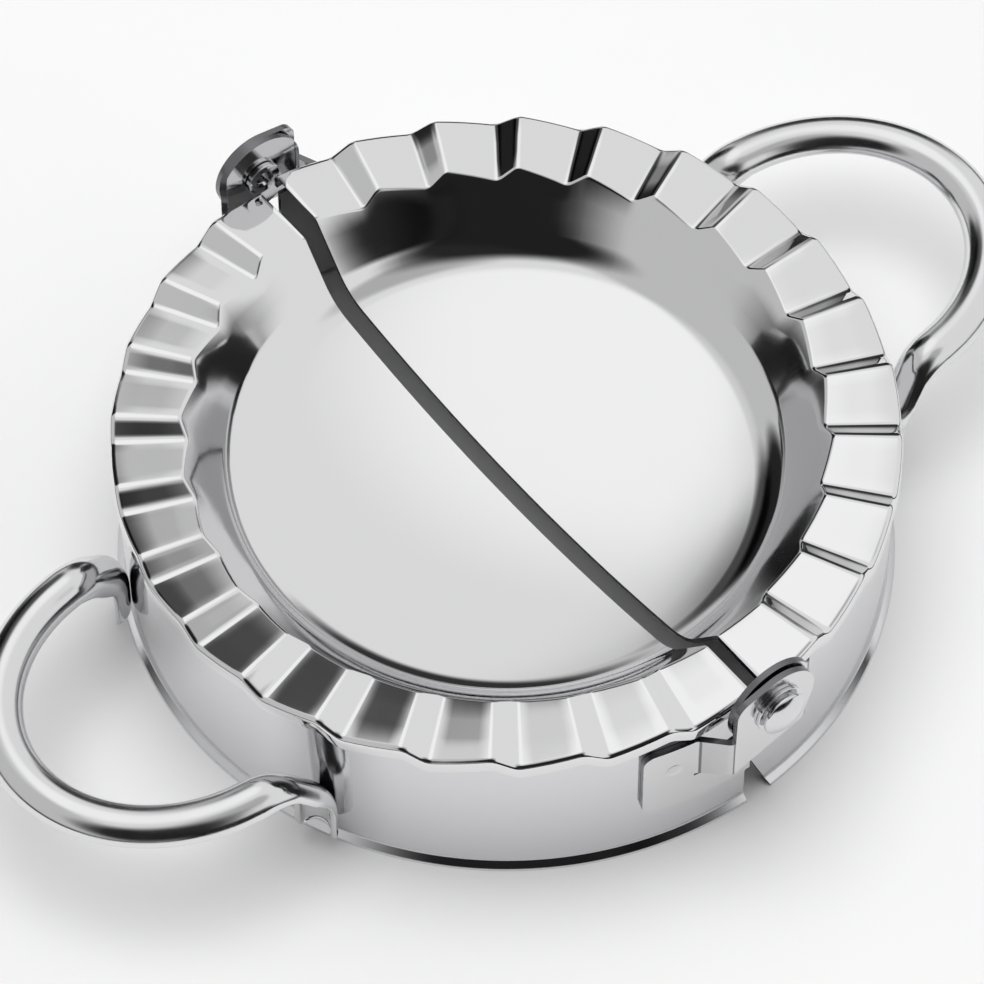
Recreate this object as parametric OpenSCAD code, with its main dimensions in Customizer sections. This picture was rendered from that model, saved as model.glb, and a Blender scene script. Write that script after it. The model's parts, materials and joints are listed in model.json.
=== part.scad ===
// Empanada press: two hinged half dies of polished steel sheet.
// Each half is a fluted bowl over a skirt with a flared cutting foot, and has
// a half round strip handle. +X runs along the handles, +Y along the hinge
// line, and the open press stands on z = 0. All sizes are millimetres.

/* [Overall] */
// Diameter over the rolled lip of the two open halves
rim_d = 95.2; // [85:0.2:125]
// Height of the middle of the flutes above the table
rim_h = 23.2; // [20:0.2:34]
// Straight gap between the two halves where the blank was cut in two
cut_gap = 2.4; // [1.6:0.2:4]
// Thickness of the sheet in the dies and skirts
sheet = 0.55; // [0.4:0.05:0.8]
// Gap left between the flutes when the press is shut
seal_gap = 0.6; // [0.4:0.1:1.4]

/* [Flutes] */
// Number of flutes along each half rim
flutes = 14; // [9:1:18]
// Height of a flute's step, measured at the lip
flute_h = 1.7; // [0.8:0.1:2.4]
// Share of each flute taken by the steep step
step_share = 0.27; // [0.2:0.01:0.4]
// Radial width of the fluted rim outside the bowl's wall
flute_w = 8.9; // [6:0.1:12]
// Radius of the rolled outer edge
lip_roll = 0.75; // [0.6:0.05:1.2]
// Height of the turned down lip, from the flute to its lower edge
lip_drop = 2; // [1.4:0.1:3]

/* [Bowl] */
// Depth of the bowl's middle below the middle of the flutes
bowl_depth = 11.6; // [8:0.2:16]
// Slope of the bowl's wall above the level, in degrees
wall_angle = 54; // [46:1:64]
// Radius of the curve between wall and bottom
bowl_fillet = 7; // [3:0.5:10]
// Radius of the bottom's shallow dish
dish_r = 160; // [110:5:400]

/* [Skirt] */
// Distance of the skirt's top below the middle of the flutes
skirt_top_gap = 2; // [1.6:0.05:3]
// Height of the flared cutting foot
foot_h = 1.2; // [0.8:0.1:3]
// How far the cutting foot flares out
foot_flare = 0.8; // [0.3:0.1:1.5]
// Height of the straight lip at the very bottom of the foot
foot_edge = 0.1; // [0.1:0.1:0.6]
// Distance of the skirt's straight end from the hinge line
end_back = 1.2; // [1.1:0.1:4]
// How far the skirt's other end reaches past the hinge line
end_past = 0.6; // [0:0.1:1]
// How far the slanted bottom corner of that end is drawn back
end_slant = 3.2; // [1:0.1:5]
// Height of the slanted corner
end_slant_h = 8.4; // [4:0.2:10]
// Gap round the inner ear's strap in the notch that lets it out
notch_gap = 0.4; // [0.3:0.05:1]

/* [Hinge] */
// Thickness of the hinge plates
plate_t = 0.8; // [0.6:0.1:1.2]
// Radius of the outer ear round the rivet
outer_ear_r = 5.5; // [4.4:0.1:6]
// Radius of the inner ear round the rivet
inner_ear_r = 6; // [4.6:0.1:6]
// How high the shoulder beside the outer ear reaches above the pivot
shoulder_h = 4.6; // [3:0.1:5]
// Radius of that shoulder
shoulder_r = 2; // [1:0.1:2.6]
// Distance from the hinge line to the far edge of each hinge plate
plate_reach = 15.4; // [13:0.2:18]
// Height of the outer plate's lower edge above the table
outer_foot = 8; // [5:0.5:9]
// Height of the inner plate's lower edge above the table
inner_foot = 1; // [0.6:0.1:6]
// Height of the strap that carries the outer ear
outer_strap_h = 6.8; // [5:0.1:8]
// Height of the strap that carries the inner ear
inner_strap_h = 6.3; // [5:0.1:8]
// How much each strap rises while it steps out
strap_rise = 1.6; // [0:0.1:2]
// Distance of both straps' tops below the pivot
strap_drop = 3.45; // [3.3:0.05:4.6]
// Where the outer strap starts to step out, from the hinge line
outer_bend = 6.3; // [6.2:0.1:8]
// Where the inner strap starts to step out, from the hinge line
inner_bend = 5.4; // [4.6:0.1:6]
// Length of the step in both straps
bend_run = 2.4; // [2.2:0.1:4]
// Width of the slit under each strap
slit = 0.4; // [0.3:0.1:0.8]
// Distance from the lip to the inner ear
ear_off = 1.2; // [1.1:0.1:2]
// Gap between the two ears
ear_gap = 0.3; // [0.3:0.1:0.6]
// Radius of the plates' rounded corners
corner_r = 1.5; // [0.5:0.1:2.5]

/* [Rivet] */
// Diameter of the rivet's shank
rivet_d = 3; // [2:0.1:4]
// Diameter of the domed head
head_d = 6; // [4.6:0.1:7]
// Height of the domed head
head_h = 1.4; // [0.8:0.1:2]
// Diameter of the groove between head and washer
neck_d = 4.2; // [3.6:0.1:4.4]
// Height of that groove
neck_h = 0.5; // [0.2:0.1:1]
// Diameter of the washer under the head
washer_d = 6.6; // [4.6:0.1:8]
// Thickness of the washer
washer_t = 0.5; // [0.3:0.1:1]
// Diameter of the flanged inner end
flange_d = 4.7; // [4:0.1:6]
// Thickness of the flanged inner end
flange_t = 0.7; // [0.5:0.05:0.8]
// Diameter of the hole in the rivet's inner end
rivet_bore = 1.7; // [1:0.1:1.8]

/* [Handles] */
// How far the handle reaches out from the skirt
handle_reach = 27.4; // [20:0.2:45]
// Distance from the skirt to the widest place of the loop
handle_mid = 3.1; // [2.8:0.1:10]
// Distance between the loop's two sides, middle to middle
handle_span = 37.8; // [32:0.2:46]
// Width of the strip
strip_w = 5.7; // [4.6:0.1:7]
// Height of the strip's arch
strip_h = 2.4; // [1.6:0.1:3]
// Thickness of the strip's sheet
strip_t = 0.8; // [0.6:0.1:1.2]
// Height of the loop's edges above the table
handle_h = 15; // [12:0.2:18]
// Angle of each foot on the skirt, from the handle's middle line
foot_angle = 24.3; // [20:0.1:32]
// Gap between the flare of the cutting foot and the lower end of each handle foot
tab_gap = 1.1; // [0:0.1:2]
// Length of each handle foot on the skirt, from its lower end to the bend
tab_len = 5.3; // [4.2:0.1:6.5]

/* [Fits] */
// Gap between pieces that are spot welded together
seat = 0.05; // [0.02:0.01:0.1]
// Gap round the rivet's shank
pin_fit = 0.05; // [0.03:0.01:0.1]
// Free play along the rivet
rivet_play = 0.1; // [0.05:0.01:0.2]

/* [Hidden] */
$fn = 96;
eps = 0.01;
far = 200;

// Rim and skirt radii, from the lip inwards
lip_r = rim_d / 2;
crease_r = lip_r - lip_roll;
skirt_r = lip_r - sheet - seat;
skirt_in = skirt_r - sheet;
skirt_top = rim_h - skirt_top_gap;
wall_r = crease_r - flute_w + lip_roll;
cut_x = cut_gap / 2;

// The pivot sits half the shut gap above the middle of the flutes
pivot_h = rim_h + seal_gap / 2;

// Flutes: one pitch is a long panel and a steep step
pitch = 180 / flutes;
step_a = pitch * step_share;
panel_a = pitch - step_a;
panel_parts = 2;

// Hinge stack along the rivet, from the rim outwards
ear_y = lip_r + ear_off;
outer_y = ear_y + plate_t + ear_gap;
head_y = outer_y + plate_t + washer_t;
strap_top = pivot_h - strap_drop;
outer_low = strap_top - outer_strap_h;
inner_low = strap_top - inner_strap_h;
notch_z = inner_low - notch_gap;
notch_x = inner_bend + bend_run + plate_t + notch_gap / 2;
outer_seat = skirt_r + seat;
inner_seat = skirt_in - seat - plate_t;
plate_top = strap_top;

// Handle path
strip_r = strip_w / 2;
loop_x = skirt_r + handle_mid;
loop_a = handle_reach - strip_r - handle_mid;
loop_b = handle_span / 2;
strip_sides = 8;
tab_r = skirt_r + seat + strip_h;
tab_low = foot_h + tab_gap;
tab_high = tab_low + tab_len;
bend_steps = 4;
loop_steps = 24;

steel = [0.78, 0.79, 0.81];
steel_dark = [0.6, 0.62, 0.66];
steel_warm = [0.85, 0.82, 0.76];

function turned2(a) = [cos(a), sin(a)];
function turned(a) = [cos(a), sin(a), 0];
function unit(v) = v / norm(v);
function arc(c, r, a0, a1, n) = [for (i = [0:n]) c + r * turned2(a0 + (a1 - a0) * i / n)];

// A flute's slope at angle a: the rim's height is this times the radius
function flute_mid(k) = 90 - step_a / 2 - k * pitch - panel_a / 2;
function tilt_of(half_angle) = flute_h / 2 / crease_r / sin(half_angle);
panel_tilt = tilt_of(panel_a / 2);
step_tilt = tilt_of(step_a / 2);
stations = [for (k = [0:flutes - 1]) each concat(
    k == 0 ? [[90, 0]] : [],
    [for (i = [0:panel_parts]) let (d = panel_a / 2 - panel_a * i / panel_parts)
        [flute_mid(k) + d, panel_tilt * sin(d)]],
    k == flutes - 1 ? [[-90, 0]] : [])];

// A die's section as two matching lines, each point [r, z, lift]; the flutes
// raise a point by lift times its radius. side 0 is the top, 1 the underside.
dish_c = [0, rim_h - bowl_depth + dish_r];
wall_dir = [cos(wall_angle), sin(wall_angle)];
wall_in = [-sin(wall_angle), cos(wall_angle)];
fillet_line = [wall_r, rim_h] + bowl_fillet * wall_in;
to_fillet = fillet_line - dish_c;
fillet_run = to_fillet * wall_dir;
fillet_back = fillet_run + sqrt(pow(fillet_run, 2) - to_fillet * to_fillet + pow(dish_r - bowl_fillet, 2));
fillet_c = fillet_line - fillet_back * wall_dir;
fillet_a = atan2(fillet_c[1] - dish_c[1], fillet_c[0]);
dish_steps = 5;
fillet_steps = 7;
fold_steps = 4;

fold_c = [crease_r, rim_h - lip_roll];

function dish_angle(i) = -90 + (fillet_a + 90) * i / dish_steps;
function fillet_angle(i) = fillet_a + (wall_angle - 90 - fillet_a) * i / fillet_steps;
function bowl_line(d) = concat(
    [[0, dish_c[1] - dish_r - d]],
    [for (i = [1:dish_steps]) dish_c + (dish_r + d) * turned2(dish_angle(i))],
    [for (i = [1:fillet_steps]) fillet_c + (bowl_fillet + d) * turned2(fillet_angle(i))]);
function fold_line(d) = arc(fold_c, lip_roll - d, 90, 0, fold_steps);

// Radius where the wall meets the flutes at slope a
function rim_inner(a, d) = ((wall_r + d / sin(wall_angle)) * tan(wall_angle) - d) / (tan(wall_angle) - a);
function die_line(d, a) = concat(
    [for (p = bowl_line(d)) [p[0], p[1], 0]],
    [[rim_inner(a, d), rim_h - d, 1]],
    [for (p = fold_line(d)) [p[0], p[1], 1]],
    [[lip_r - d, rim_h - lip_drop, 1]]);
function die_ring(s) = [for (d = [0, sheet]) for (p = die_line(d, s[1]))
    p[0] * turned(s[0]) + [0, 0, p[1] + p[2] * p[0] * s[1]]];

// Half of a whole fluted die, from one cut face round to the other
module die_shell() {
    n = len(die_line(0, 0));
    m = len(stations);
    loop = concat([for (j = [0:n - 1]) j], [for (j = [n - 1:-1:0]) n + j]);
    sides = [for (i = [0:m - 2]) for (j = [0:2 * n - 1])
        let (a = i * 2 * n + loop[j], b = i * 2 * n + loop[(j + 1) % (2 * n)], c = b + 2 * n, e = a + 2 * n)
        each [[a, c, b], [a, e, c]]];
    caps = [for (j = [0:n - 2]) each [[j, j + 1, n + j + 1, n + j],
        [for (q = [n + j, n + j + 1, j + 1, j]) (m - 1) * 2 * n + q]]];
    polyhedron([for (s = stations) each die_ring(s)], concat(sides, caps), convexity = 10);
}

module die() {
    color(steel) intersection() {
        die_shell();
        translate([cut_x, -far, -far]) cube([far, 2 * far, 2 * far]);
    }
}

module skirt() {
    color(steel_dark) difference() {
        rotate([0, 0, -100]) rotate_extrude(angle = 200) polygon([
            [skirt_in, skirt_top],
            [skirt_in, foot_h],
            [skirt_in + foot_flare, foot_edge],
            [skirt_in + foot_flare, 0],
            [skirt_r + foot_flare, 0],
            [skirt_r + foot_flare, foot_edge],
            [skirt_r, foot_h],
            [skirt_r, skirt_top]]);
        // Straight end beside the outer hinge plate
        translate([end_back - far, 0, -1]) cube([far, far, far]);
        // Other end: upright above, slanted back at the foot
        translate([0, eps, 0]) rotate([90, 0, 0]) linear_extrude(far) polygon([
            [-far, -1], [end_slant_x(-1), -1], [-end_past, end_slant_h], [-end_past, far], [-far, far]]);
        // Notch for the inner ear, with a rounded upper corner
        translate([0, eps, 0]) rotate([90, 0, 0]) linear_extrude(far) polygon(concat(
            [[-far, notch_z], [notch_x, notch_z]],
            arc([notch_x + corner_r, skirt_top - corner_r], corner_r, 180, 100, 8),
            [[notch_x + corner_r, far], [-far, far]]));
    }
}

// Tangent point from p to a circle of radius r round the pivot, side 1 or -1
function pivot_tangent(p, r, side) = let (v = p - [0, pivot_h])
    [0, pivot_h] + r * turned2(atan2(v[1], v[0]) + side * acos(r / norm(v)));

// Front outline of a strap and its round ear; low is the ear's lowest corner
module ear_outline(ear_r, bend_x, strap_z, shoulder, low) {
    x1 = bend_x + bend_run + slit;
    difference() {
        union() {
            translate([0, pivot_h]) circle(ear_r);
            polygon(concat([[x1 + plate_t, strap_top], [x1, strap_top]],
                [[bend_x - slit / 2, strap_top + strap_rise * 0.8]], shoulder,
                [[0, pivot_h], pivot_tangent(low, ear_r - eps, -1), low,
                [bend_x, strap_z + strap_rise], [x1, strap_z], [x1 + plate_t, strap_z]]));
        }
        translate([0, pivot_h]) circle(rivet_d / 2 + pin_fit);
    }
}

// Plan of a plate that follows the skirt at radius r
module arc_plan(r, x0) {
    intersection() {
        difference() {
            circle(r + plate_t);
            circle(r);
        }
        translate([x0, 0]) square([plate_reach + 1 - x0, far]);
    }
}

// Plan of a stepped strap: along the skirt at radius r, then out to the ear at y
module strap_plan(r, y, bend_x) {
    x1 = bend_x + bend_run;
    y1 = sqrt(r * r - x1 * x1);
    lean = plate_t * tan(atan2(y - y1, bend_run) / 2);
    yo = sqrt(pow(r + plate_t, 2) - pow(x1 + lean, 2));
    polygon([[x1, y1], [bend_x, y], [-far / 10, y], [-far / 10, y + plate_t],
        [bend_x + lean, y + plate_t], [x1 + lean, yo - eps], [x1 + lean, yo - plate_t / 2]]);
    arc_plan(r, x1);
}

// The slanted lower corner of the skirt's near end, at height z
function end_slant_x(z) = -end_past + end_slant * (end_slant_h - z) / end_slant_h;

// A front outline carried back through the plan, towards +Y
module through() {
    rotate([90, 0, 0]) mirror([0, 0, 1]) linear_extrude(far) children();
}

// A pad's right hand side with rounded corners, from foot to top
function pad_side(foot, top) = concat(arc([plate_reach - corner_r, foot + corner_r], corner_r, -90, 0, 6),
    arc([plate_reach - corner_r, top - corner_r], corner_r, 0, 90, 6));

// A plate from its pad on the skirt, at radius r, to its ear at y; the child is
// its front outline, which steps out only above split_z
module hinge_plate(r, y, bend_x, split_z) {
    intersection() {
        union() {
            translate([0, 0, split_z]) linear_extrude(far) strap_plan(r, y, bend_x);
            linear_extrude(split_z) arc_plan(r, -end_past);
        }
        through() children();
    }
}

module hinge_outer() {
    split_z = outer_low - slit;
    x1 = outer_bend + bend_run;
    shoulder_c = [outer_bend - slit / 2 - shoulder_r, pivot_h + shoulder_h - shoulder_r];
    shoulder = arc(shoulder_c, shoulder_r, 0, 80, 6);
    color(steel_warm) union() {
        hinge_plate(outer_seat, outer_y, outer_bend, split_z) {
            ear_outline(outer_ear_r, outer_bend, outer_low,
                concat(shoulder, [pivot_tangent(shoulder[6], outer_ear_r - eps, 1)]),
                [-outer_ear_r * 0.7, pivot_h - outer_ear_r - 0.6]);
            polygon(concat([[x1 + slit, split_z], [end_back, split_z], [end_back, outer_foot]],
                pad_side(outer_foot, strap_top), [[x1 + slit, strap_top]]));
        }
        // The pad rises beside the slit
        intersection() {
            linear_extrude(far) arc_plan(outer_seat, -end_past);
            through() polygon([[end_back, split_z - 1], [x1 - slit, split_z - 1], [x1 - slit, split_z],
                [end_back, split_z + strap_rise]]);
        }
    }
}

module hinge_inner() {
    split_z = inner_low - slit;
    x1 = inner_bend + bend_run;
    color(steel_warm) hinge_plate(inner_seat, ear_y, inner_bend, split_z) {
        ear_outline(inner_ear_r, inner_bend, inner_low, [], [inner_bend - 1, inner_low + strap_rise]);
        polygon(concat([[x1 + slit, split_z], [-end_past, split_z]],
            [[-end_past, end_slant_h], [end_slant_x(inner_foot), inner_foot]],
            pad_side(inner_foot, strap_top), [[x1 + slit, strap_top]]));
    }
}

// What is drawn along +Z is laid along the pivot, from y outwards
module on_pivot(y) {
    translate([0, y, pivot_h]) rotate([-90, 0, 0]) children();
}

// Rivet through both ears, drawn with its head on the side of +Y
module rivet() {
    flange_y = ear_y - rivet_play - flange_t;
    color(steel) difference() {
        union() {
            on_pivot(ear_y - rivet_play) cylinder(h = head_y - ear_y + rivet_play + eps, d = rivet_d);
            on_pivot(flange_y) cylinder(h = flange_t + eps, d = flange_d);
            on_pivot(head_y) cylinder(h = neck_h + eps, d = neck_d);
            on_pivot(head_y + neck_h) domed_head();
        }
        on_pivot(flange_y - eps) cylinder(h = flange_t + plate_t, d = rivet_bore);
    }
}

// Round head with a low dome, a little flat in the middle
module domed_head() {
    dome = head_h * 0.7;
    r = (head_d * head_d / 4 + dome * dome) / 2 / dome;
    intersection() {
        cylinder(h = head_h, d = head_d);
        translate([0, 0, head_h + 2 * eps - r]) sphere(r);
    }
}

module washer() {
    color(steel_dark) on_pivot(outer_y + plate_t) difference() {
        cylinder(h = washer_t, d = washer_d);
        translate([0, 0, -1]) cylinder(h = washer_t + 2, d = rivet_d + 2 * pin_fit);
    }
}

// Handle: a half round strip swept along foot, slope and loop.
// A station is [point on the line between the edges, crown direction, size].
foot_out = turned(foot_angle);
foot_top = tab_r * foot_out + [0, 0, tab_high];
loop_start = [loop_x, loop_b, handle_h];
bend_back = 2.2;
tip_h = 1.4;
tip_size = 0.8;
tip_steps = 3;

// The foot's end rounds in to a share of the strip's size; t runs up from its tip
function foot_station(t) = let (f = tip_size + (1 - tip_size) * sqrt(1 - (1 - t) * (1 - t)))
    [(skirt_r + seat + strip_h * f) * foot_out + [0, 0, tab_low + tip_h * t], -foot_out, f];
function curve(a, b, c, t) = (1 - t) * (1 - t) * a + 2 * t * (1 - t) * b + t * t * c;
function blend_up(t) = unit((1 - t) * -foot_out + t * [0, 0, 1]);
function bend_at(a, b, c, t0, t1) = [for (i = [0:bend_steps]) let (t = i / bend_steps)
    [curve(a, b, c, t), blend_up(t0 + (t1 - t0) * t), 1]];

slope_dir = unit(loop_start - foot_top);
loop_in = [bend_back, -loop_b / 2 * pow(bend_back / loop_a, 2), 0];
half_path = concat(
    [for (i = [0:tip_steps]) foot_station(i / tip_steps)],
    bend_at(foot_top - [0, 0, bend_back], foot_top, foot_top + bend_back * slope_dir, 0, 0.5),
    bend_at(loop_start - bend_back * slope_dir, loop_start, loop_start + loop_in, 0.5, 1));
loop_skip = 6;
loop_from = acos(bend_back / loop_a) - loop_skip;
loop_path = [for (i = [0:loop_steps]) let (t = loop_from - 2 * loop_from * i / loop_steps)
    [[loop_x + loop_a * cos(t), loop_b * sin(t), handle_h], [0, 0, 1], 1]];

function mirrored(s) = [[s[0][0], -s[0][1], s[0][2]], [s[1][0], -s[1][1], s[1][2]], s[2]];
handle_path = concat(half_path, loop_path, [for (i = [len(half_path) - 1:-1:0]) mirrored(half_path[i])]);

function path_dir(i) = unit(handle_path[min(i + 1, len(handle_path) - 1)][0] - handle_path[max(i - 1, 0)][0]);
function crown_of(i) = let (d = path_dir(i), u = handle_path[i][1]) unit(u - (u * d) * d);

// Half an ellipse round c, w along v and h along u, from angle a0 to a1
function half_round(c, v, u, w, h, a0, a1) = [for (j = [0:strip_sides])
    let (a = a0 + (a1 - a0) * j / strip_sides) c + w * cos(a) * v + h * sin(a) * u];
function strip_ring(i) = let (c = handle_path[i][0], f = handle_path[i][2])
    let (u = crown_of(i), v = cross(path_dir(i), u)) concat(
        half_round(c, v, u, strip_r * f, strip_h * f, 0, 180),
        half_round(c, v, u, strip_r * f - strip_t, strip_h * f - strip_t, 180, 0));

module handle() {
    n = 2 * strip_sides + 2;
    m = len(handle_path);
    points = [for (i = [0:m - 1]) each strip_ring(i)];
    sides = [for (i = [0:m - 2]) for (j = [0:n - 1]) let (k = (j + 1) % n)
        each [[i * n + j, i * n + k, (i + 1) * n + k], [i * n + j, (i + 1) * n + k, (i + 1) * n + j]]];
    caps = [for (j = [0:strip_sides - 1]) each [
        [j + 1, j, n - 1 - j, n - 2 - j],
        [for (q = [j, j + 1, n - 2 - j, n - 1 - j]) (m - 1) * n + q]]];
    color(steel) polyhedron(points, concat(sides, caps), convexity = 10);
}

// The left half is the right half turned half a turn about the middle
module left() {
    rotate([0, 0, 180]) children();
}

// What belongs to the right half but sits at its near hinge
module near() {
    mirror([0, 1, 0]) children();
}

module die_right() { die(); }
module die_left() { left() die(); }
module skirt_right() { skirt(); }
module skirt_left() { left() skirt(); }
module handle_right() { handle(); }
module handle_left() { left() handle(); }
module hinge_outer_far() { hinge_outer(); }
module hinge_outer_near() { left() hinge_outer(); }
module hinge_inner_near() { near() hinge_inner(); }
module hinge_inner_far() { left() near() hinge_inner(); }
module washer_far() { washer(); }
module washer_near() { left() washer(); }
module rivet_far() { rivet(); }
module rivet_near() { left() rivet(); }

die_left();
die_right();
skirt_left();
skirt_right();
handle_left();
handle_right();
hinge_outer_near();
hinge_outer_far();
hinge_inner_near();
hinge_inner_far();
washer_near();
washer_far();
rivet_near();
rivet_far();
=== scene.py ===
import json
from math import acos, asin, atan2, cos, hypot, pi, radians, sin, sqrt, tan

import bmesh
import bpy
from bpy.props import FloatProperty, FloatVectorProperty, IntProperty, PointerProperty
from mathutils import Matrix, Vector


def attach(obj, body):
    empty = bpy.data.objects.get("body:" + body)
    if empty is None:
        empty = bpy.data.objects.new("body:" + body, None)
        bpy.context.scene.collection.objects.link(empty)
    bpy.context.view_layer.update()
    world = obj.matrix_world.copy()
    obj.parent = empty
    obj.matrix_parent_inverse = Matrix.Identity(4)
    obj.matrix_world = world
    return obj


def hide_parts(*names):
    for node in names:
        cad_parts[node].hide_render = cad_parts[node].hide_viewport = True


bl_info = {
    "name": "Empanada press",
    "version": (1, 0, 0),
    "blender": (4, 5, 0),
    "location": "3D View > Sidebar > Press",
    "description": "Builds the bent sheet, rivets and finishes of a hinged empanada press",
    "category": "Object",
}

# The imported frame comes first, so that the pieces can be placed by it
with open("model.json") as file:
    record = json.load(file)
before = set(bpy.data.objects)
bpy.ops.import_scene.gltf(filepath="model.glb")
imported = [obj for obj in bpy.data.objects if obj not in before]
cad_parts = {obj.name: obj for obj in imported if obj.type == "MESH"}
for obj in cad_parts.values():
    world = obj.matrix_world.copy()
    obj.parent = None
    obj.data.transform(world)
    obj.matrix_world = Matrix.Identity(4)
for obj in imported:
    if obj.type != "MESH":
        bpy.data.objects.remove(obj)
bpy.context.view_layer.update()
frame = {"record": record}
MM = 0.001

# A sharp bend is averaged over these shares of its reach, which rounds it
ROUNDING = (-1, -0.6, -0.2, 0.2, 0.6, 1)


def linear(code):
    """The linear colour of an sRGB hex value."""
    parts = [int(code[i:i + 2], 16) / 255 for i in (1, 3, 5)]
    return [c / 12.92 if c <= 0.04045 else ((c + 0.055) / 1.055) ** 2.4 for c in parts] + [1.0]


def size(name, description, mm):
    return FloatProperty(name=name, description=description, default=mm * MM, unit="LENGTH",
                         precision=5)


def angle(name, description, deg):
    return FloatProperty(name=name, description=description, default=radians(deg), unit="ROTATION")


def share(name, description, value):
    return FloatProperty(name=name, description=description, default=value, min=0, max=1,
                         subtype="FACTOR")


def colour(name, description, code):
    return FloatVectorProperty(name=name, description=description, default=linear(code), size=4,
                               subtype="COLOR", min=0, max=1)


class DieSizes(bpy.types.PropertyGroup):
    lip_r: size("Lip radius", "Radius over the rolled lip", 47.6)
    rim_h: size("Rim height", "Height of the middle of the flutes", 23.2)
    cut_x: size("Cut", "Distance of each half's cut edge from the hinge line", 1.2)
    sheet: size("Sheet", "Thickness of the sheet in dies and skirts", 0.55)
    flutes: IntProperty(name="Flutes", description="Number of flutes on each half rim", default=14,
                        min=6, max=24)
    flute_h: size("Flute height", "Height of a flute's step at the lip", 1.7)
    step_share: share("Step share", "Share of each flute taken by the steep step", 0.27)
    flute_w: size("Flute width", "Radial width of the fluted rim", 8.9)
    lip_roll: size("Lip roll", "Radius of the rolled outer edge", 0.75)
    lip_drop: size("Lip drop", "Height of the turned down lip", 2.0)
    bowl_depth: size("Bowl depth", "Depth of the bowl's middle below the flutes", 11.6)
    wall_angle: angle("Wall angle", "Slope of the bowl's wall above the level", 54)
    bowl_fillet: size("Bowl fillet", "Radius of the curve between wall and bottom", 7.0)
    dish_r: size("Dish radius", "Radius of the bottom's shallow dish", 160.0)
    soft_edge: size("Soft edge", "Radius of the bend from the wall to the flutes", 0.7)


class SkirtSizes(bpy.types.PropertyGroup):
    radius: size("Radius", "Outer radius of the skirt", 47.0)
    top: size("Top", "Height of the skirt's hidden upper edge", 21.2)
    foot_h: size("Foot height", "Height of the flared cutting foot", 1.2)
    foot_flare: size("Foot flare", "How far the cutting foot flares out", 0.8)
    foot_edge: size("Foot edge", "Height of the straight lip at the bottom", 0.25)
    foot_bend: size("Foot bend", "Radius of the bend from the wall to the flare", 0.3)
    end_back: size("Straight end", "Distance of the straight end from the hinge line", 1.2)
    end_past: size("Notched end", "How far the other end reaches past the hinge line", 0.6)
    end_slant: size("Slant", "How far the slanted corner is drawn back", 3.2)
    end_slant_h: size("Slant height", "Height of the slanted corner", 8.4)
    notch_x: size("Notch length", "Far side of the notch for the inner ear", 8.8)
    notch_z: size("Notch height", "Lower edge of the notch for the inner ear", 13.35)
    corner_r: size("Corner", "Radius of the notch's upper corner", 1.5)


class HingeSizes(bpy.types.PropertyGroup):
    plate: size("Plate", "Thickness of the hinge plates", 0.8)
    pivot_h: size("Pivot", "Height of the rivets", 23.5)
    strap_top: size("Strap top", "Height of the straps' upper edge", 20.05)
    reach: size("Reach", "Far edge of each plate from the hinge line", 15.4)
    corner_r: size("Corner", "Radius of the plates' rounded corners", 1.5)
    strap_rise: size("Rise", "How much each strap rises while it steps out", 1.6)
    bend_run: size("Step length", "Length of the step in both straps", 2.4)
    slit: size("Slit", "Width of the slit under each strap", 0.4)
    shoulder_h: size("Shoulder", "Height of the outer ear's shoulder above the pivot", 4.6)
    shoulder_r: size("Shoulder radius", "Radius of the outer ear's shoulder", 2.0)
    outer_ear_r: size("Outer ear", "Radius of the outer ear", 5.5)
    inner_ear_r: size("Inner ear", "Radius of the inner ear", 6.0)
    outer_seat: size("Outer seat", "Radius on which the outer plate lies", 47.05)
    inner_seat: size("Inner seat", "Radius of the inner plate's inner face", 45.6)
    outer_y: size("Outer ear place", "Distance of the outer ear's inner face from the middle", 49.9)
    inner_y: size("Inner ear place", "Distance of the inner ear's inner face from the middle", 48.8)
    outer_bend: size("Outer bend", "Where the outer strap starts to step out", 6.3)
    inner_bend: size("Inner bend", "Where the inner strap starts to step out", 5.4)
    outer_strap: size("Outer strap", "Height of the strap with the outer ear", 6.8)
    inner_strap: size("Inner strap", "Height of the strap with the inner ear", 6.3)
    outer_foot: size("Outer foot", "Height of the outer plate's lower edge", 8.0)
    inner_foot: size("Inner foot", "Height of the inner plate's lower edge", 1.0)


class RivetSizes(bpy.types.PropertyGroup):
    shank_r: size("Shank", "Radius of the rivet's shank", 1.5)
    head_r: size("Head", "Radius of the domed head", 3.0)
    head_h: size("Head height", "Height of the domed head", 1.4)
    neck_r: size("Neck", "Radius of the groove behind the head", 2.1)
    neck_h: size("Neck height", "Height of that groove", 0.5)
    washer_r: size("Washer", "Radius of the washer", 3.3)
    washer_t: size("Washer thickness", "Thickness of the washer", 0.5)
    flange_r: size("Flange", "Radius of the flanged inner end", 2.35)
    flange_t: size("Flange thickness", "Thickness of the flanged inner end", 0.7)
    bore_r: size("Bore", "Radius of the hole in the inner end", 0.85)
    mouth: size("Mouth", "Width and depth of the bore's flared mouth", 0.42)
    play: size("Play", "Free play along the rivet", 0.1)
    fit: size("Fit", "Gap round the shank", 0.05)


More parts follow.
